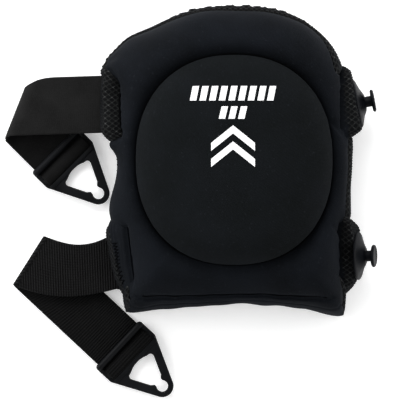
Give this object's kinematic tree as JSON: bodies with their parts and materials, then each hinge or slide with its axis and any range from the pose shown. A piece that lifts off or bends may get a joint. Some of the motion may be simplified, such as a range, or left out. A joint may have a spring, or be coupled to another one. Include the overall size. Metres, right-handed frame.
{
  "type": "strap-on gel knee pad",
  "caption": "Soft arched knee pad with a puffed gel cap, mesh side tabs, two webbing straps with triangular keyhole clips, and mushroom studs that the clips hook on.",
  "frame": {"origin": "middle of the knee opening, on the surface that the pad lies on when it is on its back", "axes": "+Z out of the pad's front, +Y towards its thigh end, +X towards its stud side"},
  "size_m": [0.2609, 0.2719, 0.0796],
  "materials": {
    "cap_jersey": "matt knitted stretch fabric, faint sheen",
    "rim_jersey": "matt knitted stretch fabric",
    "thread": "sewn thread",
    "gel": "soft clear gel",
    "foam": "open foam, which is as light as cloth",
    "backing": "foam sheet, which is as light as cloth",
    "liner_mesh": "fine spacer mesh",
    "print_ink": "flat white transfer ink",
    "tab_mesh": "coarse spacer mesh with lighter flecks",
    "upper_webbing": "smooth fine woven webbing",
    "lower_webbing": "cross-ribbed elastic webbing",
    "clip_plastic": "moulded black plastic",
    "stud_plastic": "moulded black plastic",
    "rivet_steel": "plated steel"
  },
  "bodies": {
    "pad": {"cap_cover": "cap_jersey", "cap_seam_thread": "thread", "gel_insert": "gel", "cap_foam": "foam", "printed_mark": "print_ink", "rim_cover": "rim_jersey", "rim_foam": "foam", "backing_foam": "backing", "mesh_liner": "liner_mesh", "top_binding": "tab_mesh", "bottom_hem": "rim_jersey", "upper_left_tab": "tab_mesh", "lower_left_tab": "tab_mesh", "upper_right_tab": "tab_mesh", "lower_right_tab": "tab_mesh", "upper_strap_root": "upper_webbing", "lower_strap_root": "lower_webbing", "upper_stud_base": "stud_plastic", "upper_stud_button": "stud_plastic", "upper_stud_back_plate": "stud_plastic", "upper_stud_rivet": "rivet_steel", "lower_stud_base": "stud_plastic", "lower_stud_button": "stud_plastic", "lower_stud_back_plate": "stud_plastic", "lower_stud_rivet": "rivet_steel"},
    "upper_strap": {"upper_strap_leg": "upper_webbing", "upper_strap_loop": "upper_webbing", "upper_strap_run": "upper_webbing"},
    "upper_tail": {"upper_strap_tail": "upper_webbing"},
    "upper_clip": {"upper_clip": "clip_plastic", "upper_strap_wrap": "upper_webbing"},
    "lower_strap": {"lower_strap_leg": "lower_webbing", "lower_strap_loop": "lower_webbing", "lower_strap_run": "lower_webbing"},
    "lower_tail": {"lower_strap_tail": "lower_webbing"},
    "lower_clip": {"lower_clip": "clip_plastic", "lower_strap_wrap": "lower_webbing"}
  },
  "joints": [
    {"name": "upper_strap_swing", "type": "hinge", "parent": "pad", "child": "upper_strap", "pos_m": [-0.0897, 0.04017, 0.0181], "axis": [-0.03, 0.9996, 0], "range_deg": [0, 55]},
    {"name": "upper_clip_slide", "type": "slide", "parent": "upper_strap", "child": "upper_tail", "axis": [-0.7101, 0.7041, 0], "range_m": [0, 0.009], "deforming": ["upper_strap_run"]},
    {"name": "upper_clip_tilt", "type": "hinge", "parent": "upper_tail", "child": "upper_clip", "pos_m": [-0.12426, 0.01123, 0.0029], "axis": [-0.7041, -0.7101, 0], "range_deg": [0, 25]},
    {"name": "lower_strap_swing", "type": "hinge", "parent": "pad", "child": "lower_strap", "pos_m": [-0.09344, -0.07279, 0.00886], "axis": [-0.6073, 0.7944, 0], "range_deg": [0, 50]},
    {"name": "lower_clip_slide", "type": "slide", "parent": "lower_strap", "child": "lower_tail", "axis": [-0.7302, 0.6832, 0], "range_m": [0, 0.005], "deforming": ["lower_strap_run"]},
    {"name": "lower_clip_tilt", "type": "hinge", "parent": "lower_tail", "child": "lower_clip", "pos_m": [-0.08038, -0.1249, 0.0029], "axis": [-0.6832, -0.7302, 0], "range_deg": [0, 36]}
  ]
}
